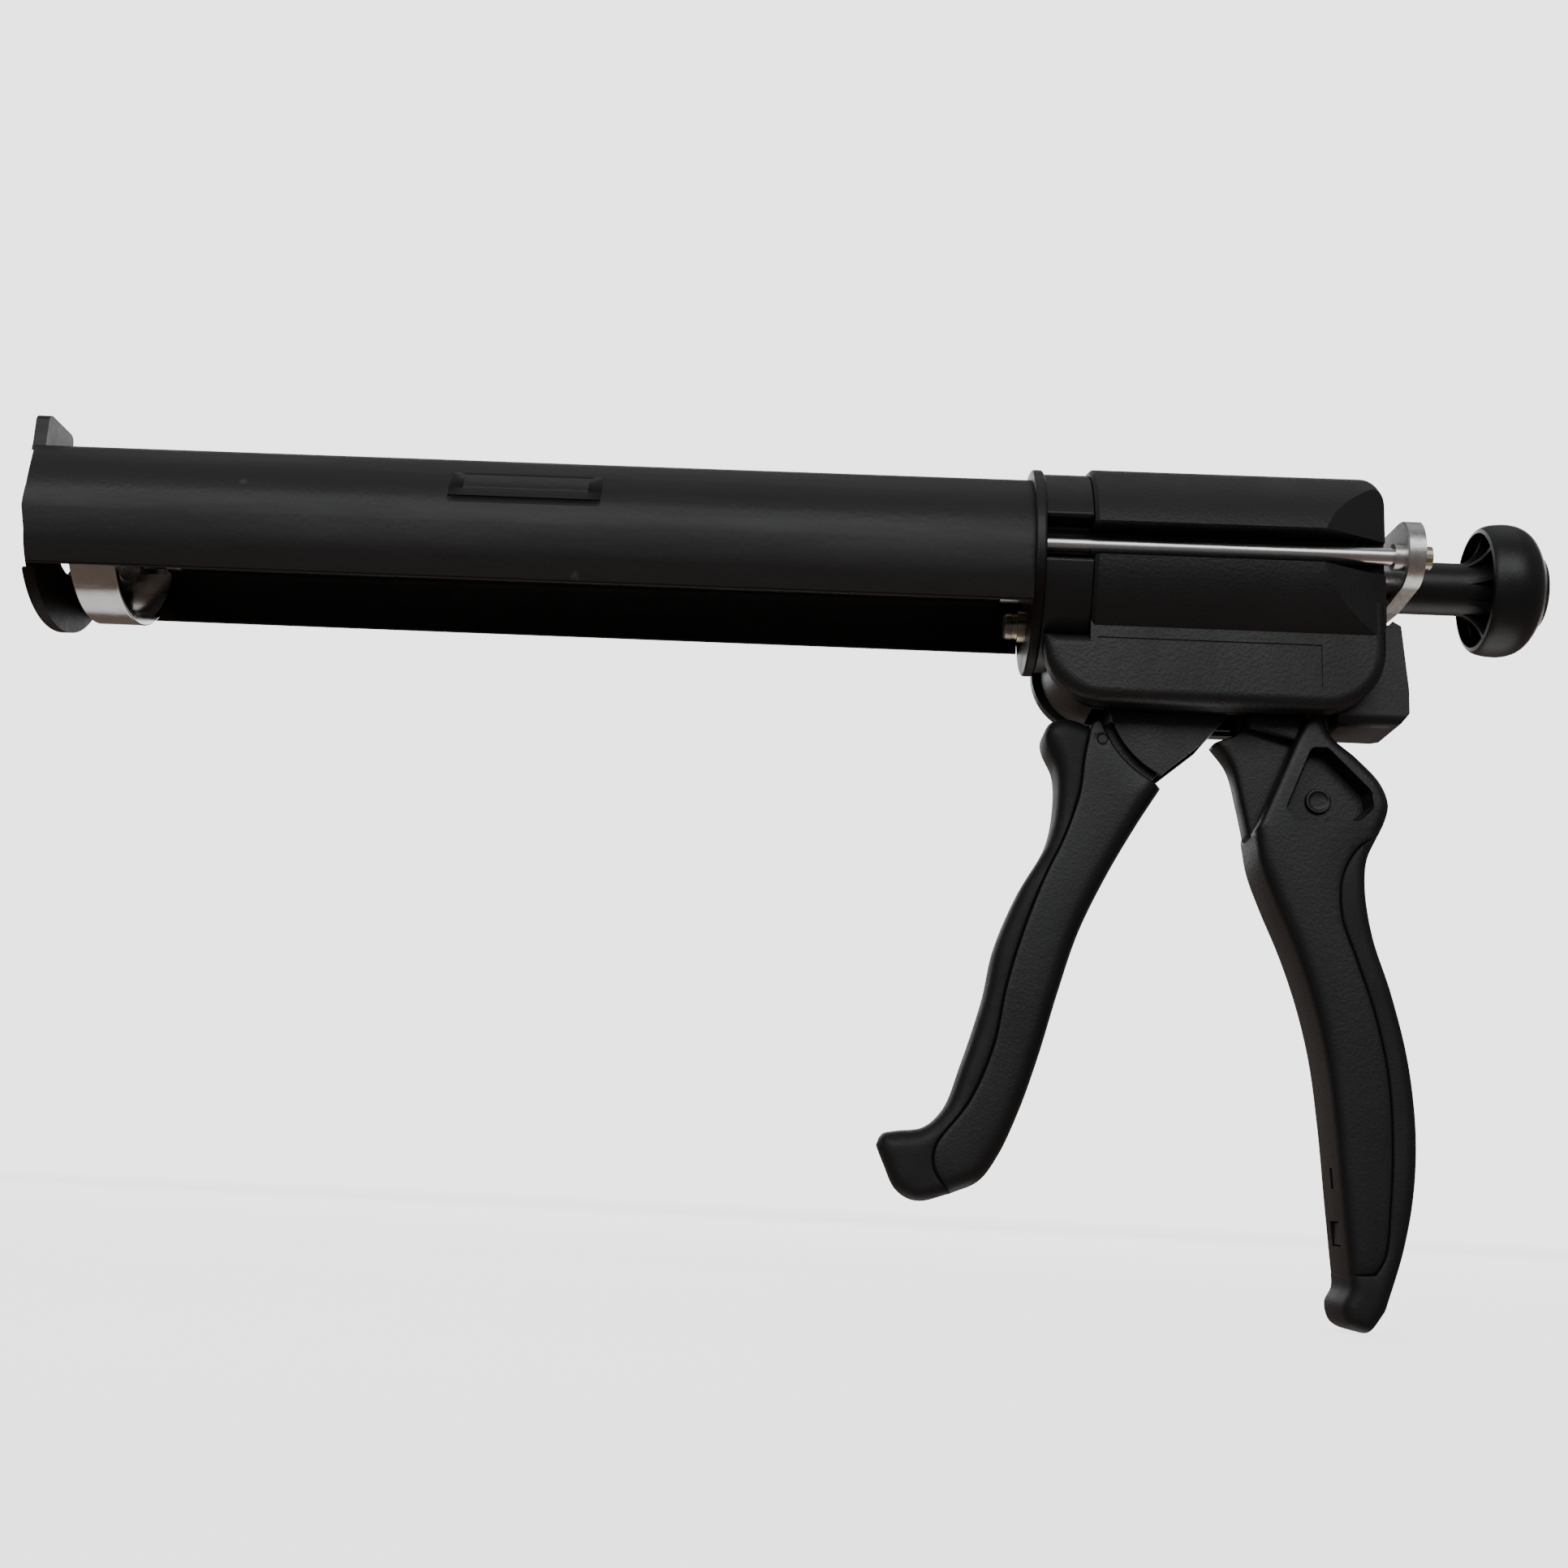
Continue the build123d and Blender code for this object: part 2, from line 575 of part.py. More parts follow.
with BuildPart() as handle_rivets:
    for side in (-1, 1):
        with BuildSketch(Plane.XZ.offset(-side * (HANDLE_HALF - POCKET_DEPTH - 1.1))):
            with Locations(RIVET_SPOT):
                Circle(RIVET_R - 0.7)
        extrude(amount=-side * 1.1)
        with BuildSketch(Plane.XZ.offset(-side * (HANDLE_HALF - POCKET_DEPTH))):
            with Locations(RIVET_SPOT):
                Circle(RIVET_R)
        extrude(amount=-side * 1.3)
save(handle_rivets, "handle_rivets")

with BuildPart() as handle_grip:
    with BuildSketch(Plane.XZ) as grip_side:
        with BuildLine():
            seam = Spline(*parting)
            back = Spline(*grip_back)
            curl = Spline(*grip_heel_curl, tangents=[back % 1, (0.8, 0.6)])
            Line(curl @ 1, seam @ 0)
        make_face()
    extrude(amount=HANDLE_HALF, both=True)
save(handle_grip, "handle_grip")

# ---- trigger ------------------------------------------------------------------------------

GROOVE_R = 30.4
TANG = [(27.5, -41.5), (18.6, -46.6), (16.0, -52.0), (19.0, -62.0), (26.6, -69.0), (36.0, -58.0)]
TIE_PIN = (18.4, -51.4)
TRIGGER_TOE = (-20.5, -178.0)
TRIGGER_HOOK = (15.2, -47.2)
TOE_CORNER = (-40.6, -165.8)
trigger_front = [TRIGGER_HOOK, (12.0, -45.7), (7.6, -45.0), (4.0, -46.4), (2.4, -49.6), (2.9, -53.0),
                 (5.8, -59.4), (6.3, -68.1), (4.3, -80.0), (-3.7, -94.9), (-9.8, -110.5), (-12.6, -124.6),
                 (-18.2, -143.3), (-22.6, -155.2), (-28.4, -160.7), (-35.8, -162.0), (-39.4, -163.0),
                 TOE_CORNER]
trigger_toe = [TOE_CORNER, (-38.5, -170.6), (-34.8, -177.6), (-29.4, -180.3), TRIGGER_TOE]
trigger_seam = [TRIGGER_TOE, (-25.0, -171.8), (-25.0, -166), (-16, -153), (-10, -138), (-7, -122),
                (-2.5, -106), (3, -91), (8, -80), (12.2, -67), (13.4, -57), TRIGGER_HOOK]
trigger_back = [TRIGGER_TOE, (-13.0, -174.4), (-8.0, -167.6), (-2.4, -155), (2.6, -140), (7.4, -123),
                (12.8, -106), (20.2, -90), (28.3, -75.4), (35.3, -64.06)]


def groove_point(angle, radius):
    """Point at an angle below the pivot's -X side, on a circle round the trigger pivot."""
    return (PIVOT_X - radius * cos(radians(angle)), PIVOT_Z - radius * sin(radians(angle)))


with BuildPart() as trigger_shell:
    with BuildSketch(Plane.XZ):
        with BuildLine():
            seam = Spline(*trigger_seam)
            back = Spline(*trigger_back)
            arc = ThreePointArc(groove_point(16.5, GROOVE_R), groove_point(40, GROOVE_R), back @ 1)
            Line(seam @ 1, arc @ 0)
        make_face()
    extrude(amount=TRIGGER_HALF, both=True)
    side_edges = rim_edges(trigger_shell, TRIGGER_HALF)
    fillet([e for e in side_edges if e.length > 100 and e.center().X > -6], 3.0)
    with BuildSketch(Plane.XZ) as tang_room:
        with BuildLine():
            Polyline(*TANG, close=True)
        make_face()
        offset(amount=0.2)
    extrude(amount=TANG_HALF + 0.2, both=True, mode=Mode.SUBTRACT)
    with BuildSketch(Plane.XZ) as tie_hole:
        with Locations(TIE_PIN):
            Circle(1.28)
    extrude(amount=TRIGGER_HALF, both=True, mode=Mode.SUBTRACT)
save(trigger_shell, "trigger_shell")

with BuildPart() as trigger_grip:
    with BuildSketch(Plane.XZ):
        with BuildLine():
            seam = Spline(*trigger_seam)
            front = Spline(*trigger_front)
            Spline(*trigger_toe, tangents=[front % 1, (1, 0.25)])
        make_face()
    extrude(amount=TRIGGER_HALF, both=True)
save(trigger_grip, "trigger_grip")

with BuildPart() as trigger_lever:
    with BuildSketch(Plane.XZ) as web:
        with BuildLine():
            arc = ThreePointArc(groove_point(8, WEB_R), groove_point(32, WEB_R), groove_point(64, WEB_R))
            Polyline(arc @ 1, (47.0, -50.5), (55.0, -41), (55.0, -33), (52, -28.5), (42, -28.5), (33, -32),
                     arc @ 0)
        make_face()
    extrude(amount=WEB_HALF, both=True)
    with BuildSketch(Plane.XZ) as guard_room:
        with BuildLine():
            Polyline((47.5, -49.2), (41, -48.3), (33, -58.5), (33, -64), (50, -54), close=True)
        make_face()
    extrude(amount=GUARD_HALF + 0.6, both=True, mode=Mode.SUBTRACT)
    with BuildSketch(Plane.XZ) as tang:
        with BuildLine():
            Polyline(*TANG, close=True)
        make_face()
    extrude(amount=TANG_HALF, both=True)
    with BuildSketch(Plane.XZ) as nose:
        with BuildLine():
            Polyline((47.1, -30), (47.1, NOSE_TOP), (50.6, NOSE_TOP), (52.6, -30), close=True)
        make_face()
    extrude(amount=TANG_HALF, both=True)
    with BuildSketch(Plane.XZ) as holes:
        with Locations((PIVOT_X, PIVOT_Z)):
            Circle(PIVOT_R + RUNNING_GAP)
        with Locations(TIE_PIN):
            Circle(1.28)
    extrude(amount=TRIGGER_HALF, both=True, mode=Mode.SUBTRACT)
save(trigger_lever, "trigger_lever")

with BuildPart() as trigger_pin:
    with BuildSketch(Plane.XZ):
        with Locations(TIE_PIN):
            Circle(1.22)
    extrude(amount=TRIGGER_HALF - 0.2, both=True)
save(trigger_pin, "trigger_pin")

# ---- drive and release mechanism ----------------------------------------------------------

with BuildPart() as drive_plate:
    with BuildSketch(Plane.YZ.offset(DRIVE_PLATE_X)):
        with Locations((0, -2)):
            RectangleRounded(19, 28.5, 3)
        Circle(DRIVE_ROD_R + RUNNING_GAP, mode=Mode.SUBTRACT)
    extrude(amount=DRIVE_PLATE_THICK)
save(drive_plate, "drive_plate")

SPRING_R = 7.2
SPRING_WIRE_R = 0.7
drive_spring = coil(CHAMBER_FRONT + 0.9, DRIVE_PLATE_X - CHAMBER_FRONT - 1.8, SPRING_R, SPRING_WIRE_R, 5)
save(drive_spring, "drive_spring")
brake_spring = coil(HOUSING_REAR + 0.9, BRAKE_PLATE_X - HOUSING_REAR - 1.8, SPRING_R, SPRING_WIRE_R, 6)
save(brake_spring, "brake_spring")

with BuildPart() as brake_plate:
    with BuildSketch(Plane.YZ.offset(BRAKE_PLATE_X)):
        with Locations((0, 2.5)):
            RectangleRounded(19, 36, 2.5)
        Circle(DRIVE_ROD_R + 0.4, mode=Mode.SUBTRACT)
    extrude(amount=BRAKE_PLATE_THICK)
save(brake_plate, "brake_plate")

with BuildPart() as release_lever:
    with BuildSketch(Plane.XZ) as thumb:
        with BuildLine():
            Polyline((99.2, -14.2), (101.6, -15.6), (103.4, -34), (103.4, -41), (101.2, -43.8),
                     (97.5, RELEASE_BOTTOM), (84.4, RELEASE_BOTTOM), (83.6, -43.6), (83.6, -41.2),
                     (96.6, -41.2), (98.8, -38.8), close=True)
        make_face()
        fillet(thumb.vertices().group_by(Axis.X)[-1], 1.0)
    extrude(amount=RELEASE_HALF, both=True)
    for side in (-1, 1):
        with BuildSketch(Plane.XZ.offset(-side * (RELEASE_HALF - CHEEK_THICK))) as cheek:
            with BuildLine():
                Polyline((84.4, -42), (83.6, -33), (87.2, -17), (99.4, -15.2), (100.0, -42), close=True)
            make_face()
        extrude(amount=-side * CHEEK_THICK)
    with BuildSketch(Plane.YZ.offset(RELEASE_SLOT_FRONT)) as thumb_outline:
        with Locations((0, RELEASE_BOTTOM + 20)):
            Rectangle(2 * RELEASE_HALF, 40)
        fillet(thumb_outline.vertices().group_by(Axis.Y)[0], 3.4)
    extrude(amount=25, mode=Mode.INTERSECT)
    with BuildSketch(Plane.XZ) as arm:
        with BuildLine():
            Polyline((84.4, -42), (83.2, -36), (83.6, -31), (87.2, -13.4), (89.6, -13.4), (91.6, -33),
                     (96.6, -42), close=True)
        make_face()
    extrude(amount=4, both=True)
    with BuildSketch(Plane.XZ) as release_bore:
        with Locations((RELEASE_X, RELEASE_Z)):
            Circle(PIN_HOLE_R - 0.03 + RUNNING_GAP)
    extrude(amount=RELEASE_HALF, both=True, mode=Mode.SUBTRACT)
save(release_lever, "release_lever")

# ---- push assembly ------------------------------------------------------------------------

with BuildPart() as drive_rod:
    with BuildSketch(Plane.YZ.offset(RING_FRONT + 5)):
        Circle(DRIVE_ROD_R)
    extrude(amount=YOKE_REAR + 14 - RING_FRONT - 5)
    chamfer(drive_rod.faces().filter_by(Axis.X).edges(), 0.6)
save(drive_rod, "drive_rod")

with BuildPart() as side_rods:
    with BuildSketch(Plane.YZ.offset(RING_FRONT + 1.5)):
        with Locations(*rod_spots):
            Circle(SIDE_ROD_R)
    extrude(amount=YOKE_REAR - RING_FRONT - 2.0)
save(side_rods, "side_rods")

with BuildPart() as push_ring:
    with BuildSketch(Plane.YZ.offset(RING_FRONT)):
        with Locations(*rod_spots):
            Rectangle(9, 8.4)
        Circle(RING_R - 0.3, mode=Mode.INTERSECT)
    extrude(amount=RING_LENGTH)
    with BuildSketch(Plane.YZ.offset(RING_FRONT)):
        Circle(RING_R)
        Circle(RING_R - RING_WALL, mode=Mode.SUBTRACT)
    extrude(amount=RING_LENGTH)
    with BuildSketch(Plane.YZ.offset(RING_FRONT + 1.4)):
        with Locations(*rod_spots):
            Circle(SIDE_ROD_R + 0.03)
    extrude(amount=RING_LENGTH, mode=Mode.SUBTRACT)
    rims = [e for e in push_ring.edges().filter_by(GeomType.CIRCLE) if abs(e.radius - RING_R) < 0.01]
    fillet(rims, 0.5)
save(push_ring, "push_ring")

with BuildPart() as ring_nuts:
    with BuildSketch(Plane.YZ.offset(RING_REAR)):
        with Locations(*rod_spots):
            Circle(3.0)
            Circle(SIDE_ROD_R + 0.03, mode=Mode.SUBTRACT)
    extrude(amount=NUT_LENGTH)
    rear_rims = ring_nuts.faces().filter_by(Axis.X).group_by(Axis.X)[-1]
    chamfer([f.outer_wire().edges()[0] for f in rear_rims], 0.3)
save(ring_nuts, "ring_nuts")

with BuildPart() as centre_pusher:
    with BuildSketch(Plane.YZ.offset(RING_FRONT + 4.5)):
        Circle(PUSHER_R)
    extrude(amount=PUSHER_THICK)
    fillet(centre_pusher.edges(), 0.8)
    with BuildSketch(Plane.YZ.offset(RING_FRONT + 4.5 + PUSHER_THICK)):
        Circle(7.0)
    extrude(amount=4.5)
    with BuildSketch(Plane.YZ.offset(RING_FRONT + 5)):
        Circle(DRIVE_ROD_R + 0.03)
    extrude(amount=20, mode=Mode.SUBTRACT)
save(centre_pusher, "centre_pusher")

with BuildPart() as yoke_plate:
    with BuildSketch(Plane.YZ.offset(YOKE_FRONT)):
        with Locations(*[(side * (YOKE_HALF_LENGTH - YOKE_END_R), YOKE_Z) for side in (-1, 1)]):
            Circle(YOKE_END_R)
        with Locations((0, YOKE_Z)):
            Circle(YOKE_HALF_HEIGHT)
        make_hull()
        with Locations(*rod_spots):
            Circle(SIDE_ROD_R + 0.03, mode=Mode.SUBTRACT)
        Circle(DRIVE_ROD_R + 0.03, mode=Mode.SUBTRACT)
    extrude(amount=YOKE_THICK)
    chamfer([f.outer_wire().edges() for f in yoke_plate.faces().filter_by(Axis.X)][0], 0.4)
save(yoke_plate, "yoke_plate")

with BuildPart() as rod_collars:
    with BuildSketch(Plane.YZ.offset(YOKE_FRONT - COLLAR_LENGTH)):
        with Locations(*rod_spots):
            Circle(3.7)
            Circle(SIDE_ROD_R + 0.03, mode=Mode.SUBTRACT)
    extrude(amount=COLLAR_LENGTH)
save(rod_collars, "rod_collars")

YOKE_SCREW_R = 3.3

with BuildPart() as yoke_screws:
    with BuildSketch(Plane.YZ.offset(YOKE_REAR)):
        with Locations(*rod_spots):
            RegularPolygon(YOKE_SCREW_R, 18)
    extrude(amount=2.5)
    with BuildSketch(Plane.YZ.offset(YOKE_REAR + 1.5)):
        with Locations(*rod_spots):
            Rectangle(1.0, 8)
    extrude(amount=2, mode=Mode.SUBTRACT)
save(yoke_screws, "yoke_screws")

with BuildPart() as pull_knob:
    with BuildSketch(Plane.XZ) as knob_profile:
        with BuildLine():
            outer = Spline((KNOB_RIM + 0.3, KNOB_RIM_R + 1.0), (130.4, 19.0), (134.4, 19.1), (140.0, 16.5),
                           (143.5, 11.0), (KNOB_TIP, 0), tangents=[(1, 1.1), (0, -1)])
            Polyline(outer @ 1, (YOKE_REAR, 0), (YOKE_REAR, NECK_R), (121.0, NECK_R))
            flare = Spline((121.0, NECK_R), (126.0, 8.0), (130.4, 8.6), tangents=[(1, 0), (1, 0.2)])
            bowl = Spline(flare @ 1, (136.4, 10.4), (137.6, 13.6), (134.6, 16.4), (KNOB_RIM, KNOB_RIM_R))
            Line(bowl @ 1, outer @ 0)
        make_face()
    revolve(axis=Axis.X)
    for turn in range(KNOB_RIBS):
        rib_plane = Plane.XZ.rotated((turn * 360 / KNOB_RIBS, 0, 0))
        with BuildSketch(rib_plane):
            with BuildLine():
                edge = ThreePointArc((121.4, NECK_R - 0.4), (126.6, 10.8), (128.8, KNOB_RIM_R + 0.6))
                Polyline(edge @ 1, (138.6, 14.0), (138.6, 7.0), edge @ 0)
            make_face()
        extrude(amount=0.65, both=True)
    with BuildSketch(Plane.YZ.offset(YOKE_REAR)):
        Circle(DRIVE_ROD_R + 0.03)
    extrude(amount=14.2, mode=Mode.SUBTRACT)
save(pull_knob, "pull_knob")
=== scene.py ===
import math

import bmesh
import bpy
import numpy as np
from mathutils import Matrix, Vector
from mathutils.geometry import delaunay_2d_cdt


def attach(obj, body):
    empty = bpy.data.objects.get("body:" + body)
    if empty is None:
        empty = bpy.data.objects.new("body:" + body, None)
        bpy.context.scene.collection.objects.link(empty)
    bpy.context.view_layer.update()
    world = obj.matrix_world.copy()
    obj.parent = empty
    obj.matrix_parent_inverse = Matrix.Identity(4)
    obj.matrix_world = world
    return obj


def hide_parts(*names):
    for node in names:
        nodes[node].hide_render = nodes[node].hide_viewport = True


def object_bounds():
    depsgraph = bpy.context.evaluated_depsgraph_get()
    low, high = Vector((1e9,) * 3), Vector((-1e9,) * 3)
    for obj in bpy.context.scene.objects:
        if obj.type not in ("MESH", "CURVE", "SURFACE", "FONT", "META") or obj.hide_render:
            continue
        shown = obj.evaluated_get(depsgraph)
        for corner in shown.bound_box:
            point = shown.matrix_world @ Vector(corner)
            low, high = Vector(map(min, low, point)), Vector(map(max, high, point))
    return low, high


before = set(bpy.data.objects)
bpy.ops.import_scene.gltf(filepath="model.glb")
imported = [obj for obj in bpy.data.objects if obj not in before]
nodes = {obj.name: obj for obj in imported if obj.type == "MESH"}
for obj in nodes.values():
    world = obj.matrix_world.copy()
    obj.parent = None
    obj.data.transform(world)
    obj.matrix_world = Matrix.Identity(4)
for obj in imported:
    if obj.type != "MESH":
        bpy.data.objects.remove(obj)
cad_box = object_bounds()


# ---- materials ----------------------------------------------------------------------------


class Graph:
    """Small helper round one material's node tree."""

    def __init__(self, name):
        self.material = bpy.data.materials.new(name)
        self.material.use_nodes = True
        self.tree = self.material.node_tree
        self.shader = self.tree.nodes["Principled BSDF"]
        self.coords = self.add("ShaderNodeTexCoord").outputs["Object"]

    def add(self, kind, **settings):
        node = self.tree.nodes.new(kind)
        for key, value in settings.items():
            setattr(node, key, value)
        return node

    def link(self, output, target):
        self.tree.links.new(output, target)

    def scaled(self, x, y, z):
        mapping = self.add("ShaderNodeMapping")
        mapping.inputs["Scale"].default_value = (x, y, z)
        self.link(self.coords, mapping.inputs["Vector"])
        return mapping.outputs["Vector"]

    def noise(self, scale, detail=4.0, roughness=0.55, vector=None):
        node = self.add("ShaderNodeTexNoise")
        node.inputs["Scale"].default_value = scale
        node.inputs["Detail"].default_value = detail
        node.inputs["Roughness"].default_value = roughness
        self.link(vector or self.coords, node.inputs["Vector"])
        return node.outputs["Fac"]

    def cells(self, scale):
        node = self.add("ShaderNodeTexVoronoi", feature="SMOOTH_F1")
        node.inputs["Scale"].default_value = scale
        self.link(self.coords, node.inputs["Vector"])
        return node.outputs["Distance"]

    def span(self, value, low, high, to_low, to_high):
        node = self.add("ShaderNodeMapRange")
        numbers = {"From Min": low, "From Max": high, "To Min": to_low, "To Max": to_high}
        for key, number in numbers.items():
            node.inputs[key].default_value = number
        self.link(value, node.inputs["Value"])
        return node.outputs["Result"]

    def mix(self, factor, first, second):
        node = self.add("ShaderNodeMix", data_type="RGBA")
        self.link(factor, node.inputs["Factor"])
        for socket, colour in ((node.inputs["A"], first), (node.inputs["B"], second)):
            if isinstance(colour, bpy.types.NodeSocket):
                self.link(colour, socket)
            else:
                socket.default_value = (*colour, 1)
        return node.outputs["Result"]

    def bump(self, height, strength, distance, normal=None):
        node = self.add("ShaderNodeBump")
        node.inputs["Strength"].default_value = strength
        node.inputs["Distance"].default_value = distance
        self.link(height, node.inputs["Height"])
        if normal is not None:
            self.link(normal, node.inputs["Normal"])
        return node.outputs["Normal"]


def moulded(name, dark, light, rough, grain, grain_depth):
    """Black plastic: mottled tone, uneven gloss and fine spark-eroded grain."""
    g = Graph(name)
    broad = g.noise(18.0, 5.0, 0.6)
    fine = g.noise(420.0, 3.0, 0.5)
    tone = g.mix(g.span(broad, 0.35, 0.65, 0.0, 1.0), dark, light)
    g.link(tone, g.shader.inputs["Base Color"])
    smear = g.noise(55.0, 6.0, 0.7, g.scaled(1.0, 1.0, 0.35))
    g.link(g.span(smear, 0.3, 0.7, rough - 0.06, rough + 0.07), g.shader.inputs["Roughness"])
    skin = g.bump(fine, 0.10, 0.0004)
    g.link(g.bump(g.cells(grain), grain_depth, 0.0003, skin), g.shader.inputs["Normal"])
    return g.material


# The cradle's pressed rib. Lengths are in metres, and the profile is (degrees round the barrel, height).
RIB_DEPTH = 0.0046
RIB_MIDDLE_X = -0.1472
RIB_HALF = 0.0218
RIB_RUN_OUT = 0.004
RIB_SPAN_DEGREES = 50
RIB_PROFILE = ((13, 1.0), (23.7, 0.0), (24.9, 0.02), (38.5, 1.0))


def pressed_rib(g, place):
    """Height of the cradle's surface round its pressed rib: 1 outside the rib and 0 at the crease."""
    aside = g.add("ShaderNodeMath", operation="ABSOLUTE")
    g.link(place.outputs["Y"], aside.inputs[0])
    angle = g.add("ShaderNodeMath", operation="ARCTAN2")
    g.link(place.outputs["Z"], angle.inputs[0])
    g.link(aside.outputs["Value"], angle.inputs[1])
    profile = g.add("ShaderNodeValToRGB")
    round_barrel = g.span(angle.outputs["Value"], 0.0, math.radians(RIB_SPAN_DEGREES), 0.0, 1.0)
    g.link(round_barrel, profile.inputs["Fac"])
    points = profile.color_ramp.elements
    points.new(0.3)
    points.new(0.6)
    for element, (degrees, level) in zip(points, RIB_PROFILE):
        element.position = degrees / RIB_SPAN_DEGREES
        element.color = (level, level, level, 1)
    along = g.add("ShaderNodeMath", operation="SUBTRACT")
    along.inputs[1].default_value = RIB_MIDDLE_X
    g.link(place.outputs["X"], along.inputs[0])
    away = g.add("ShaderNodeMath", operation="ABSOLUTE")
    g.link(along.outputs["Value"], away.inputs[0])
    ends = g.span(away.outputs["Value"], RIB_HALF - RIB_RUN_OUT, RIB_HALF, 0.0, 1.0)
    return g.mix(ends, profile.outputs["Color"], (1, 1, 1))


# Dark brown painted shade for the low, down-facing flanks of the painted parts.
LOW_FLANK_SHADE = (0.0140, 0.0098, 0.0080)
BARE_SPECK = (0.11, 0.105, 0.10)


def painted(name, dark, light, rough):
    """Satin black powder paint on sheet steel: orange peel, scuffs along the barrel and bare specks.

    Low on the flanks the colour turns darker and browner, which is painted shade for the down-facing side,
    and the specular level falls there.
    """
    g = Graph(name)
    broad = g.noise(14.0, 6.0, 0.6, g.scaled(0.5, 1.0, 1.0))
    tone = g.mix(g.span(broad, 0.35, 0.65, 0.0, 1.0), dark, light)
    specks = g.span(g.noise(160.0, 2.0, 0.4), 0.74, 0.80, 0.0, 0.35)
    height = g.add("ShaderNodeSeparateXYZ")
    g.link(g.coords, height.inputs["Vector"])
    g.link(g.span(height.outputs["Z"], -0.010, 0.006, 0.10, 0.5), g.shader.inputs["Specular IOR Level"])
    # Painted shade: from 4 mm to 14 mm below the barrel's middle height, the colour darkens towards
    # LOW_FLANK_SHADE.
    shaded_low_tone = g.mix(g.span(height.outputs["Z"], -0.004, -0.014, 0.0, 1.0), tone, LOW_FLANK_SHADE)
    g.link(g.mix(specks, shaded_low_tone, BARE_SPECK), g.shader.inputs["Base Color"])
    scuffs = g.noise(90.0, 8.0, 0.75, g.scaled(0.12, 1.0, 1.0))
    g.link(g.span(scuffs, 0.35, 0.7, rough - 0.05, rough + 0.09), g.shader.inputs["Roughness"])
    peel = g.bump(g.noise(650.0, 2.0, 0.4), 0.16, 0.0004)
    dents = g.bump(g.noise(60.0, 3.0, 0.5), 0.10, 0.0006, peel)
    g.link(g.bump(pressed_rib(g, height), 1.0, RIB_DEPTH, dents), g.shader.inputs["Normal"])
    return g.material


def soft_rubber(name):
    """Matt soft-touch insert with a fine leathery grain and a little dust."""
    g = Graph(name)
    dust = g.span(g.noise(38.0, 7.0, 0.7), 0.5, 0.8, 0.0, 1.0)
    g.link(g.mix(dust, (0.0105, 0.0102, 0.010), (0.021, 0.020, 0.019)), g.shader.inputs["Base Color"])
    g.link(g.span(g.noise(70.0), 0.3, 0.7, 0.50, 0.66), g.shader.inputs["Roughness"])
    g.link(g.bump(g.cells(1500.0), 0.14, 0.0003), g.shader.inputs["Normal"])
    g.shader.inputs["Specular IOR Level"].default_value = 0.42
    return g.material


def metal(name, colour, dull, rough, stretch, scratch=0.12, spots=0.5):
    """Bare or plated metal: drawing lines along stretch, cloudy tone and small tarnish spots."""
    g = Graph(name)
    cloud = g.noise(35.0, 6.0, 0.65)
    tone = g.mix(g.span(cloud, 0.35, 0.7, 0.0, 1.0), colour, dull)
    spot = g.span(g.noise(210.0, 3.0, 0.6), 0.66, 0.74, 0.0, spots)
    g.link(g.mix(spot, tone, tuple(c * 0.45 for c in dull)), g.shader.inputs["Base Color"])
    g.shader.inputs["Metallic"].default_value = 1.0
    lines = g.noise(900.0, 4.0, 0.7, g.scaled(*stretch))
    g.link(g.span(lines, 0.3, 0.7, rough - 0.05, rough + 0.10), g.shader.inputs["Roughness"])
    g.link(g.bump(lines, scratch, 0.0002), g.shader.inputs["Normal"])
    return g.material


paint = painted("cradle_paint", (0.0115, 0.0110, 0.0106), (0.0165, 0.0157, 0.0150), 0.43)
flange_paint = painted("flange_paint", (0.0100, 0.0098, 0.0096), (0.0145, 0.0140, 0.0136), 0.40)
casing = moulded("casing_black", (0.0095, 0.0093, 0.0092), (0.0150, 0.0146, 0.0142), 0.47, 1150.0, 0.30)
housing = moulded("housing_black", (0.0085, 0.0084, 0.0083), (0.0120, 0.0118, 0.0116), 0.40, 1500.0, 0.10)
handle = moulded("handle_black", (0.0090, 0.0090, 0.0092), (0.0135, 0.0134, 0.0136), 0.41, 1300.0, 0.14)
rubber = soft_rubber("soft_grip")
knob = moulded("knob_black", (0.0078, 0.0078, 0.0080), (0.0110, 0.0110, 0.0112), 0.38, 1700.0, 0.08)
release = moulded("release_black", (0.0090, 0.0090, 0.0090), (0.0130, 0.0128, 0.0126), 0.42, 1400.0, 0.12)
steel = metal("bright_steel", (0.80, 0.78, 0.76), (0.66, 0.64, 0.62), 0.22, (0.02, 1.0, 1.0))
zinc = metal("zinc_plate", (0.72, 0.72, 0.69), (0.54, 0.53, 0.50), 0.30, (1.0, 0.3, 1.0), 0.20, 0.7)
chrome = metal("chrome", (0.62, 0.61, 0.60), (0.50, 0.49, 0.48), 0.13, (0.25, 1.0, 1.0), 0.03, 0.35)
brass = metal("brass", (0.55, 0.50, 0.38), (0.40, 0.36, 0.27), 0.30, (1.0, 1.0, 0.2), 0.18, 0.8)
screw = metal("screw_steel", (0.36, 0.34, 0.31), (0.24, 0.22, 0.19), 0.34, (1.0, 1.0, 0.3), 0.15, 0.8)
spring = metal("spring_steel", (0.34, 0.34, 0.35), (0.22, 0.22, 0.23), 0.33, (1.0, 1.0, 1.0))

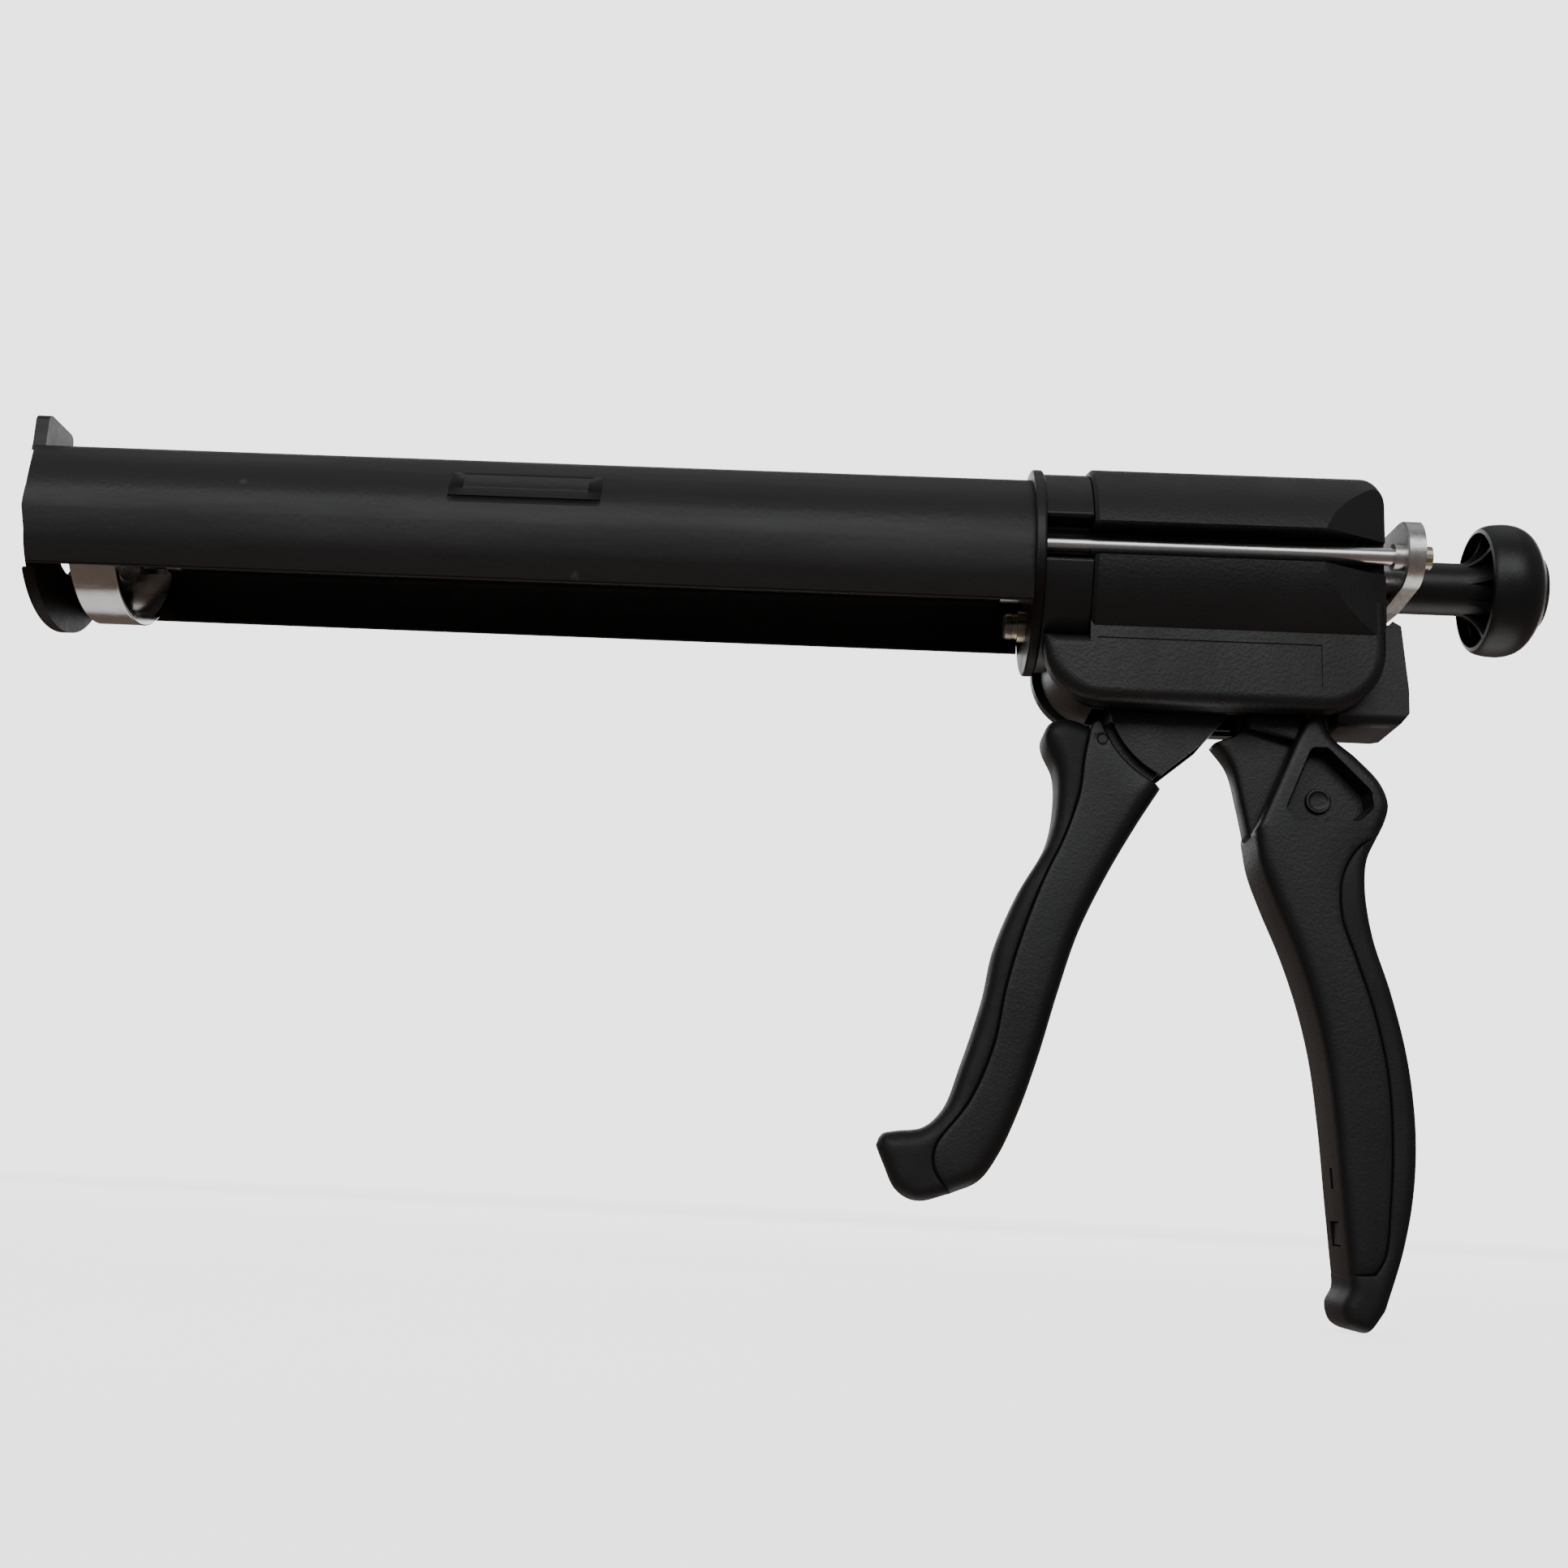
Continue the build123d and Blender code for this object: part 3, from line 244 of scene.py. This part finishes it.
finishes = {
    paint: ("cradle_shell",),
    flange_paint: ("front_plate", "cradle_flange"),
    casing: ("left_cover", "right_cover"),
    housing: ("drive_housing", "handle_clip", "trigger_pin"),
    handle: ("handle_shell", "handle_rivets", "trigger_lever", "trigger_shell"),
    rubber: ("handle_grip", "trigger_grip"),
    knob: ("pull_knob",),
    release: ("release_lever",),
    steel: ("drive_rod", "side_rods", "trigger_pivot", "release_pivot", "drive_plate", "brake_plate"),
    zinc: ("yoke_plate", "rod_collars", "centre_pusher"),
    chrome: ("push_ring",),
    brass: ("yoke_screws", "flange_washers"),
    screw: ("flange_screws", "ring_nuts", "rod_bushes", "cover_screws"),
    spring: ("drive_spring", "brake_spring"),
}
for material, names in finishes.items():
    for name in names:
        nodes[name].data.materials.clear()
        nodes[name].data.materials.append(material)

# ---- rounded mouldings --------------------------------------------------------------------

MM = 0.001
FILL_GRID = 1.3
RIM_GAP = 0.22
LEAST_HALF = 0.15
CROWN_REACH = 9.0
SHARP_DEGREES = 50
DENT_RINGS = (-0.7, -0.5, -0.25, 0, 0.25, 0.5, 0.7)


def curve(points, step=1.0):
    """Smooth line through points, in millimetres, sampled about every step."""
    pts = [Vector(p) for p in points]
    pts = [2 * pts[0] - pts[1], *pts, 2 * pts[-1] - pts[-2]]
    out = []
    for a, b, c, d in zip(pts, pts[1:], pts[2:], pts[3:]):
        t1 = (b - a).length ** 0.5
        t2 = t1 + (c - b).length ** 0.5
        t3 = t2 + (d - c).length ** 0.5
        count = max(2, round((c - b).length / step))
        for i in range(count):
            t = t1 + (t2 - t1) * i / count
            a1 = (t1 - t) / t1 * a + t / t1 * b
            a2 = (t2 - t) / (t2 - t1) * b + (t - t1) / (t2 - t1) * c
            a3 = (t3 - t) / (t3 - t2) * c + (t - t2) / (t3 - t2) * d
            b1 = (t2 - t) / t2 * a1 + t / t2 * a2
            b2 = (t3 - t) / (t3 - t1) * a2 + (t - t1) / (t3 - t1) * a3
            out.append(((t2 - t) / (t2 - t1) * b1 + (t - t1) / (t2 - t1) * b2)[:])
    return out + [points[-1]]


def straight(points, step=1.0):
    """Straight runs between points, sampled about every step."""
    out = []
    for a, b in zip(points, points[1:]):
        count = max(1, round(math.dist(a, b) / step))
        out += [tuple(a[k] + (b[k] - a[k]) * i / count for k in (0, 1)) for i in range(count)]
    return out + [points[-1]]


def distance(points, line):
    """Distance from each point to an open line of points."""
    a, b = line[:-1], line[1:]
    run = b - a
    square = np.maximum((run**2).sum(1), 1e-12)
    share = ((points[:, None, :] - a) * run).sum(2) / square
    near = a + np.clip(share, 0, 1)[..., None] * run
    return np.sqrt(((points[:, None, :] - near) ** 2).sum(2)).min(1)


def inside(points, loop):
    """True for each point within a closed loop."""
    x, z = points[:, 0, None], points[:, 1, None]
    a, b = loop, np.roll(loop, -1, 0)
    crosses = (a[:, 1] > z) != (b[:, 1] > z)
    run = b - a
    slope = run[:, 0] / np.where(run[:, 1] == 0, 1e-12, run[:, 1])
    return (crosses & (x < a[:, 0] + (z - a[:, 1]) * slope)).sum(1) % 2 == 1


def thinned(points, taken, gap):
    """Those points that keep at least gap from the ones taken and from each other."""
    cells = {}
    kept = []

    def key(p):
        return int(p[0] // gap), int(p[1] // gap)

    def clear(p):
        i, j = key(p)
        return all(math.dist(p, q) >= gap for u in (i - 1, i, i + 1) for v in (j - 1, j, j + 1)
                   for q in cells.get((u, v), ()))

    for p in taken:
        cells.setdefault(key(p), []).append(p)
    for p in points:
        if clear(p):
            kept.append(p)
            cells.setdefault(key(p), []).append(p)
    return kept


def moulding(name, sides, top, base=0.0, dents=(), crown=0.0):
    """Flat-sided piece from its outline in the XZ plane, in millimetres, rounded over at its rims.

    sides is a list of (points, rounding radius) that make the closed outline in order. The piece lies
    between base and top each side of the middle plane. Each dent is (closed outline, depth, wall width),
    and crown is how far the flat side falls away towards its rim.
    """
    lines = [(np.array(points), radius) for points, radius in sides]
    loop = np.concatenate([line[:-1] for line, _ in lines])
    turn = np.sum(loop[:, 0] * np.roll(loop[:, 1], -1) - np.roll(loop[:, 0], -1) * loop[:, 1])
    rim = [tuple(p) for p in loop]
    rings = []
    for line, radius in lines:
        run = np.gradient(line, axis=0)
        inward = np.stack([-run[:, 1], run[:, 0]], 1) * np.sign(turn)
        inward /= np.maximum(np.linalg.norm(inward, axis=1), 1e-9)[:, None]
        steps = 7 if radius > 2 else 3
        for k in range(1, steps + 1):
            depth = radius * (1 - math.cos(math.pi / 2 * k / steps))
            ring = line + inward * depth
            keep = inside(ring, loop) & (distance(ring, np.vstack([loop, loop[:1]])) > 0.9 * depth)
            rings += [tuple(p) for p in ring[keep]]
    for outline, _, wall in dents:
        dent = np.array(outline)
        run = np.roll(dent, -1, 0) - np.roll(dent, 1, 0)
        out = np.stack([-run[:, 1], run[:, 0]], 1)
        out /= np.maximum(np.linalg.norm(out, axis=1), 1e-9)[:, None]
        for k in DENT_RINGS:
            ring = dent + out * wall * k
            rings = [tuple(p) for p in ring[inside(ring, loop)]] + rings
    low, high = loop.min(0), loop.max(0)
    columns, rows = (np.arange(low[k], high[k], FILL_GRID) for k in (0, 1))
    mesh_x, mesh_z = np.meshgrid(columns, rows)
    mesh_x[::2] += FILL_GRID / 2
    fill = np.stack([mesh_x.ravel(), mesh_z.ravel()], 1)
    fill = fill[inside(fill, loop)]
    kept = thinned(rings, rim, RIM_GAP)
    kept += thinned([tuple(p) for p in fill], rim + kept, FILL_GRID * 0.55)
    flat = rim + kept
    ring_edges = [(i, (i + 1) % len(rim)) for i in range(len(rim))]
    verts, _, faces, origin, _, _ = delaunay_2d_cdt([Vector(p) for p in flat], ring_edges, [], 1, 1e-5)
    spots = np.array([v[:] for v in verts])
    drop = np.zeros(len(spots))
    for line, radius in lines:
        away = np.clip(radius - distance(spots, line), 0, radius)
        drop = (drop**4 + (radius - np.sqrt(radius**2 - away**2)) ** 4) ** 0.25
    if crown:
        edge = distance(spots, np.vstack([loop, loop[:1]]))
        drop += crown * (1 - np.clip(edge / CROWN_REACH, 0, 1)) ** 2
    for outline, depth, wall in dents:
        dent = np.array(outline)
        edge = distance(spots, np.vstack([dent, dent[:1]])) * np.where(inside(spots, dent), 1, -1)
        share = np.clip(edge / wall + 0.5, 0, 1)
        drop += depth * share * share * (3 - 2 * share)
    height = np.maximum(top - drop, base + LEAST_HALF)
    place = {old: new for new, olds in enumerate(origin) for old in olds}
    rim_ids = [place[i] for i in range(len(rim))]
    count = len(spots)
    solid = bmesh.new()
    layers = [height, -height]
    if base:
        layers = [height, np.full(count, base), -height, np.full(count, -base)]
    made = [[solid.verts.new((x * MM, y * MM, z * MM)) for (x, z), y in zip(spots, ys)] for ys in layers]
    for upper, lower in zip(made[::2], made[1::2]):
        for face in faces:
            solid.faces.new([upper[i] for i in face])
            solid.faces.new([lower[i] for i in reversed(face)])
        for i, j in zip(rim_ids, rim_ids[1:] + rim_ids[:1]):
            solid.faces.new([upper[i], lower[i], lower[j], upper[j]])
    bmesh.ops.recalc_face_normals(solid, faces=solid.faces)
    mesh = bpy.data.meshes.new(name)
    solid.to_mesh(mesh)
    solid.free()
    mesh.shade_smooth()
    mesh.set_sharp_from_angle(angle=math.radians(SHARP_DEGREES))
    piece = bpy.data.objects.new(name, mesh)
    bpy.context.scene.collection.objects.link(piece)
    return piece


def rounded(corners, radius, step=0.7):
    """Closed outline with its corners rounded."""
    out = []
    for before, corner, after in zip(corners[-1:] + corners[:-1], corners, corners[1:] + corners[:1]):
        a, b, c = Vector(before), Vector(corner), Vector(after)
        half = (a - b).angle(c - b) / 2
        reach = min(radius / math.tan(half), 0.45 * (a - b).length, 0.45 * (c - b).length)
        start, end = b + (a - b).normalized() * reach, b + (c - b).normalized() * reach
        for k in range(7):
            t = k / 6
            out.append(((1 - t) ** 2 * start + 2 * t * (1 - t) * b + t * t * end)[:])
    out.append(out[0])
    return straight(out, step)[:-1]


def circle(x, z, radius, count=28):
    """Points round a circle."""
    turns = [2 * math.pi * k / count for k in range(count)]
    return [(x + radius * math.cos(turn), z + radius * math.sin(turn)) for turn in turns]


# ---- handle and trigger -------------------------------------------------------------------

HANDLE_HALF = 12.5
TRIGGER_HALF = 10.5
CROWN = 0.4

front = [(60.6, -76), (62.2, -85), (65.8, -95), (71.2, -108), (75.8, -122), (79.2, -137),
         (81.4, -155), (83.0, -175), (84.6, -194)]
seam = [(91.0, -193.5), (93.6, -189), (95.3, -176), (96.2, -160), (95.5, -142), (92.2, -125),
        (87.4, -110), (83.9, -99), (84.2, -88), (88.6, -79.8), (94.6, -75.8)]
shoulder = [(94.6, -75.8), (96.6, -71.5), (97.6, -67), (95.5, -60.9), (89.2, -54.0), (82.0, -47.7),
            (79.4, -41.2)]
palm = [(94.6, -75.8), (91.6, -82.5), (90.9, -91), (92.7, -104), (97.3, -119), (101.4, -137),
        (103.1, -156), (102.2, -172), (99.2, -187), (94.0, -203.0)]
heel = [(94.0, -203.0), (89.2, -208.4), (84.0, -206.6), (82.7, -201.6), (84.6, -197.6),
        (84.6, -194)]
pocket = rounded([(76.4, -52.4), (80.3, -52.3), (91.7, -63.8), (92.3, -68.3), (88.8, -71.7), (71.2, -71.8),
                  (69.4, -69.3)], 1.4)
rivet = (79.0, -66.0)

body = moulding("handle_body",
                [(curve(front), 3.6), (straight([front[-1], seam[0]]), 0.8), (curve(seam), 0.7),
                 (curve(shoulder), 3.0),
                 (straight([shoulder[-1], (79.4, -34), (74.5, -34), (74.5, -43.4)]), 0.6),
                 (straight([(74.5, -43.4), front[0]]), 2.2)],
                HANDLE_HALF, crown=CROWN, dents=[(pocket, 6.4, 1.3)])
grip = moulding("handle_soft",
                [(curve(seam)[::-1], 0.7), (straight([seam[0], front[-1]]), 0.6), (curve(heel)[::-1], 3.4),
                 (curve(palm)[::-1], 3.4)],
                HANDLE_HALF, crown=CROWN)
rivet_rim = circle(*rivet, 3.6)
button = moulding("handle_rivet_heads", [(rivet_rim + [rivet_rim[0]], 0.5)], 7.3, base=5.2,
                  dents=[(circle(*rivet, 2.6), 0.35, 0.5)])
neck_line = straight([(59.5, -28), (82.0, -28), (82.0, -45), (74, -50), (59.5, -46), (59.5, -28)])
neck = moulding("handle_neck", [(neck_line, 0.8)], 9.0)
web_edge = curve([(50.6, -49.8), (55.3, -56.3), (58.1, -67.0), (60.0, -76.4)])
guard = moulding("handle_guard",
                 [(web_edge, 1.6),
                  (straight([web_edge[-1], (66, -79), (75.5, -50), (75.5, -44), (59.5, -44), (56.5, -47.4),
                             web_edge[0]]), 0.5)],
                 5.2)


def cut(piece, centre, size):
    """Take a box, given in millimetres, out of a piece."""
    bpy.ops.mesh.primitive_cube_add(size=MM, location=[c * MM for c in centre], scale=size)
    box = bpy.context.object
    boolean = piece.modifiers.new("cut", "BOOLEAN")
    boolean.operation = "DIFFERENCE"
    boolean.object = box
    with bpy.context.temp_override(object=piece, active_object=piece, selected_objects=[piece]):
        bpy.ops.object.modifier_apply(modifier=boolean.name)
    bpy.data.objects.remove(box)


cut(body, (82.0, 0, -183.5), (8.0, 8.5, 6.5))
cut(body, (81.0, -1.5, -169.0), (8.0, 2.4, 5.5))
for piece in (body, button, neck, guard):
    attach(piece, "gun_body")
    piece.data.materials.append(handle)
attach(grip, "gun_body")
grip.data.materials.append(rubber)
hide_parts("handle_shell")
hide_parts("handle_rivets")
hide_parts("handle_grip")

finger = [(15.2, -47.2), (12.0, -45.7), (7.6, -45.0), (4.0, -46.4), (2.4, -49.6), (2.9, -53.0),
          (5.8, -59.4), (6.3, -68.1), (4.3, -80.0), (-3.7, -94.9), (-9.8, -110.5), (-12.6, -124.6),
          (-18.2, -143.3), (-22.6, -155.2), (-28.4, -160.7), (-35.8, -162.0), (-39.4, -163.0),
          (-40.6, -165.8)]
toe = [(-40.6, -165.8), (-38.5, -170.6), (-34.8, -177.6), (-29.4, -180.3), (-20.5, -178.0)]
split = [(-20.5, -178.0), (-25.0, -171.8), (-25.0, -166), (-16, -153), (-10, -138), (-7, -122),
         (-2.5, -106), (3, -91), (8, -80), (12.2, -67), (13.4, -57), (15.2, -47.2)]
rear = [(-20.5, -178.0), (-13.0, -174.4), (-8.0, -167.6), (-2.4, -155), (2.6, -140), (7.4, -123),
        (12.8, -106), (20.2, -90), (28.3, -75.4), (35.3, -64.06)]


PIVOT_X, PIVOT_Z = 47.0, -36.0


def round_pivot(angle, radius):
    """Point at an angle below the trigger pivot's front."""
    turned = math.radians(angle)
    return PIVOT_X - radius * math.cos(turned), PIVOT_Z - radius * math.sin(turned)


arc = [round_pivot(16.5 + 47 * k / 24, 30.4) for k in range(25)]
arc[-1] = rear[-1]
lever = moulding("trigger_body",
                 [(curve(split)[::-1], 0.75), (curve(rear), 4.5), (arc[::-1], 0.7),
                  (straight([arc[0], split[-1]]), 0.7)],
                 TRIGGER_HALF, crown=CROWN, dents=[(circle(18.4, -51.4, 1.35, 20), 0.5, 0.4)])
finger_pad = moulding("trigger_soft",
                      [(curve(split), 0.75), (curve(finger), 4.6), (curve(toe), 3.4)],
                      TRIGGER_HALF, crown=CROWN)
for piece, material, slot_name, node in ((lever, handle, "handle_black", "trigger_shell"),
                                         (finger_pad, rubber, "soft_grip", "trigger_grip")):
    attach(piece, "trigger")
    piece.data.materials.append(material)
    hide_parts(node)

# ---- floor, light and camera --------------------------------------------------------------

FLOOR_Z = cad_box[0].z - 0.0005
PAPER_GLOW = 2.2
PAPER_BACKDROP = 3.0
LIGHT_AXIS = (0, -0.42, 0.9075)


def floor_material():
    """Pale matt paper that fades out far away, so that no horizon shows."""
    g = Graph("paper_floor")
    g.link(g.mix(g.noise(3.0), (0.80, 0.80, 0.795), (0.83, 0.83, 0.825)), g.shader.inputs["Base Color"])
    g.shader.inputs["Roughness"].default_value = 0.8
    g.shader.inputs["Specular IOR Level"].default_value = 0.1
    g.shader.inputs["Emission Color"].default_value = (1, 1, 1, 1)
    g.shader.inputs["Emission Strength"].default_value = PAPER_GLOW
    reach = g.add("ShaderNodeVectorMath", operation="LENGTH")
    g.link(g.coords, reach.inputs[0])
    g.link(g.span(reach.outputs["Value"], 0.9, 3.2, 1.0, 0.0), g.shader.inputs["Alpha"])
    return g.material


bpy.ops.mesh.primitive_circle_add(vertices=96, radius=3.4, fill_type="NGON", location=(0, 0, FLOOR_Z))
floor = bpy.context.object
floor.name = "floor"
floor.data.materials.append(floor_material())
floor.visible_glossy = False
floor.visible_diffuse = False
floor.visible_shadow = False

world = bpy.data.worlds.new("studio")
world.use_nodes = True
tree = world.node_tree
room = tree.nodes["Background"]
paper = tree.nodes.new("ShaderNodeBackground")
paper.inputs["Color"].default_value = (1, 1, 1, 1)
paper.inputs["Strength"].default_value = PAPER_BACKDROP
seen = tree.nodes.new("ShaderNodeLightPath")
blend = tree.nodes.new("ShaderNodeMixShader")
facing = tree.nodes.new("ShaderNodeVectorMath")
facing.operation = "DOT_PRODUCT"
facing.inputs[1].default_value = LIGHT_AXIS
ramp = tree.nodes.new("ShaderNodeValToRGB")
where = tree.nodes.new("ShaderNodeTexCoord")
shift = tree.nodes.new("ShaderNodeMapRange")
shift.inputs["From Min"].default_value = -1
tree.links.new(where.outputs["Generated"], facing.inputs[0])
tree.links.new(facing.outputs["Value"], shift.inputs["Value"])
tree.links.new(shift.outputs["Result"], ramp.inputs["Fac"])
# Room light from the floor's side at 0 to the ceiling's at 1: bright paper below, a dim room above.
stops = ((0.0, (1.40, 1.38, 1.36)), (0.055, (1.10, 1.07, 1.05)), (0.085, (0.17, 0.125, 0.105)),
         (0.45, (0.12, 0.10, 0.092)), (0.60, (0.14, 0.14, 0.145)), (0.76, (0.20, 0.20, 0.21)))
ramp.color_ramp.elements[1].position = 1.0
ramp.color_ramp.elements[1].color = (0.18, 0.18, 0.19, 1)
ramp.color_ramp.elements[0].color = (*stops[0][1], 1)
for position, colour in stops[1:]:
    ramp.color_ramp.elements.new(position).color = (*colour, 1)
tree.links.new(ramp.outputs["Color"], room.inputs["Color"])
room.inputs["Strength"].default_value = 1.0
tree.links.new(seen.outputs["Is Camera Ray"], blend.inputs["Fac"])
tree.links.new(room.outputs["Background"], blend.inputs[1])
tree.links.new(paper.outputs["Background"], blend.inputs[2])
tree.links.new(blend.outputs["Shader"], tree.nodes["World Output"].inputs["Surface"])
bpy.context.scene.world = world


def soft_light(name, place, target, size, power):
    """Rectangular soft light aimed at a point."""
    data = bpy.data.lights.new(name, "AREA")
    data.shape = "RECTANGLE"
    data.size, data.size_y = size
    data.energy = power
    data.color = (0.96, 0.975, 1.0)
    light = bpy.data.objects.new(name, data)
    light.location = place
    light.rotation_mode = "QUATERNION"
    light.rotation_quaternion = (Vector(target) - Vector(place)).to_track_quat("-Z", "Y")
    bpy.context.scene.collection.objects.link(light)


soft_light("key", (-0.25, -1.30, 0.72), (-0.05, 0, -0.05), (2.4, 0.8), 13)
soft_light("top", (0.0, 0.2, 1.4), (0.0, 0, 0), (1.6, 1.2), 1.5)
soft_light("back", (0.0, 1.30, 0.50), (-0.05, 0, -0.05), (2.4, 0.8), 13)

camera_data = bpy.data.cameras.new("camera")
camera_data.sensor_width = 36
camera_data.lens = 42.522
camera = bpy.data.objects.new("camera", camera_data)
right = Vector((0.99852, 0.02542, 0.04812))
down = Vector((0.04153, 0.21529, -0.97567))
forward = Vector((-0.03516, 0.97622, 0.21392))
turn = Matrix((right, -down, -forward)).transposed()
camera.matrix_world = Matrix.Translation((-0.05208, -0.51705, -0.17917)) @ turn.to_4x4()
camera_data.clip_start = 0.02
camera_data.clip_end = 20
bpy.context.scene.collection.objects.link(camera)
bpy.context.scene.camera = camera
